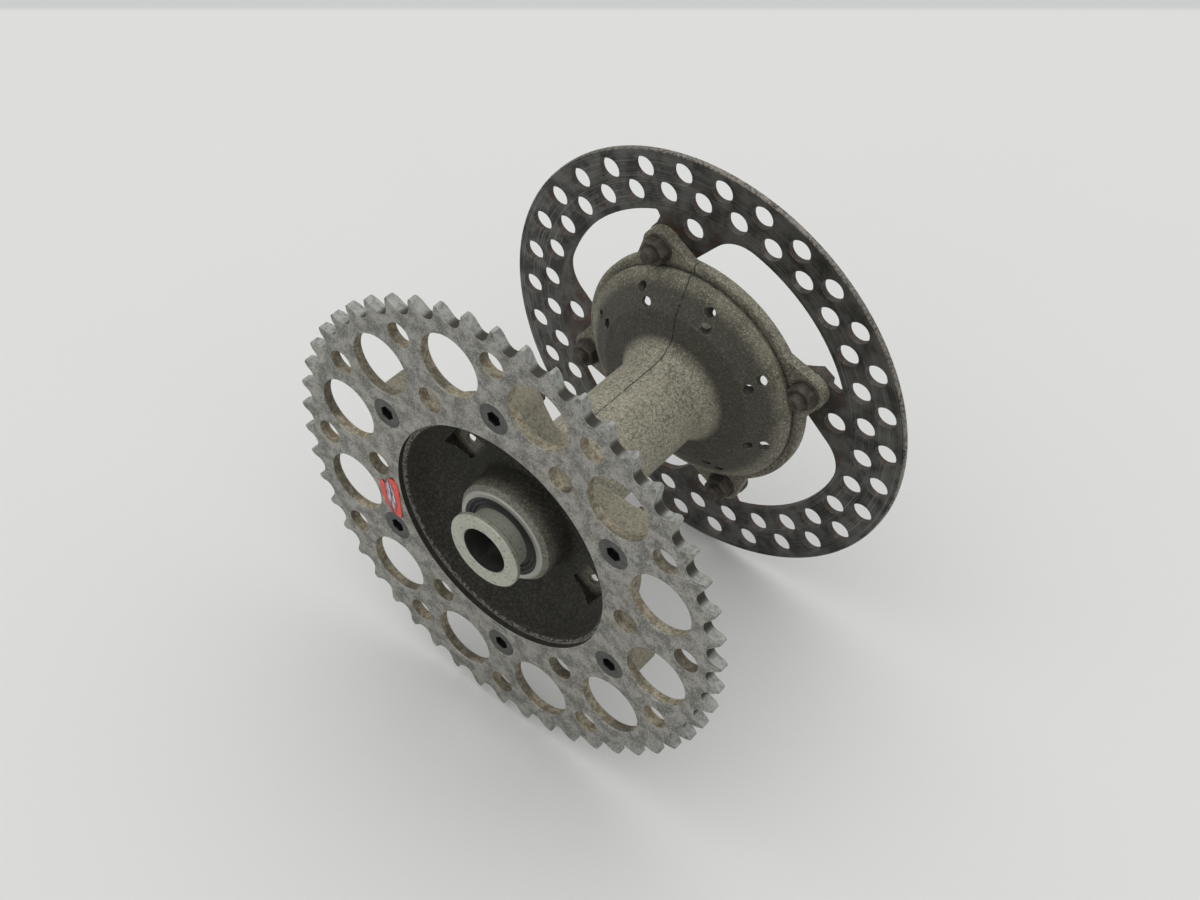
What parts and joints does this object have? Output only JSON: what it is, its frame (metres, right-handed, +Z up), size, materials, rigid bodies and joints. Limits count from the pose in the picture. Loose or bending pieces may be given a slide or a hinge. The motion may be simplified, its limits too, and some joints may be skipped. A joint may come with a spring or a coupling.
{
  "type": "motorcycle rear wheel hub with sprocket and brake disc",
  "caption": "Motorcycle rear wheel hub: drilled alloy chain sprocket on a bowl-shaped cast hub, long barrel, drilled brake disc, sealed bearings and axle collars.",
  "frame": {"origin": "on the axle line, in the plane of the sprocket's outer face", "axes": "+Y along the axle from the sprocket to the brake disc, +Z up, +X across"},
  "size_m": [0.258, 0.1854, 0.2582],
  "materials": {
    "hub_cast": "sand-cast, grey-olive, grimy",
    "sprocket_alloy": "weathered satin, mottled",
    "black_oxide": "black oxide, worn",
    "zinc_steel": "dull zinc, dirty",
    "disc_steel": "dark brown steel, ring scratches",
    "bearing_steel": "ground bearing steel",
    "cage_steel": "pressed steel",
    "seal_rubber": "blue-black rubber",
    "tube_alloy": "drawn tube",
    "collar_alloy": "turned satin, pitted",
    "patch_vinyl": "worn plain red vinyl"
  },
  "bodies": {
    "hub": {"hub_shell": "hub_cast", "sprocket": "sprocket_alloy", "sprocket_bolts": "black_oxide", "sprocket_washers": "zinc_steel", "sprocket_nuts": "zinc_steel", "brake_disc": "disc_steel", "disc_bolts": "zinc_steel", "disc_washers": "zinc_steel", "disc_nuts": "zinc_steel", "left_bearing_outer_ring": "bearing_steel", "left_bearing_shields": "seal_rubber", "right_bearing_outer_ring": "bearing_steel", "right_bearing_shields": "seal_rubber", "bearing_circlip": "cage_steel", "left_dust_seal": "seal_rubber", "right_dust_seal": "seal_rubber", "sprocket_patch": "patch_vinyl"},
    "axle_core": {"left_bearing_inner_ring": "bearing_steel", "right_bearing_inner_ring": "bearing_steel", "distance_tube": "tube_alloy", "left_collar": "collar_alloy", "right_collar": "collar_alloy"},
    "left_ball_train": {"left_bearing_balls": "bearing_steel", "left_bearing_cage": "cage_steel"},
    "right_ball_train": {"right_bearing_balls": "bearing_steel", "right_bearing_cage": "cage_steel"}
  },
  "joints": [
    {"name": "core_spin", "type": "hinge", "parent": "hub", "child": "axle_core", "pos_m": [0, 0, 0], "axis": [0, 1, 0], "continuous": true},
    {"name": "left_balls_orbit", "type": "hinge", "parent": "hub", "child": "left_ball_train", "pos_m": [0, 0, 0], "axis": [0, 1, 0], "continuous": true},
    {"name": "right_balls_orbit", "type": "hinge", "parent": "hub", "child": "right_ball_train", "pos_m": [0, 0, 0], "axis": [0, 1, 0], "continuous": true}
  ],
  "couplings": [
    {"joint": "left_balls_orbit", "follows": "core_spin", "ratio": 0.4284},
    {"joint": "right_balls_orbit", "follows": "core_spin", "ratio": 0.4284}
  ]
}
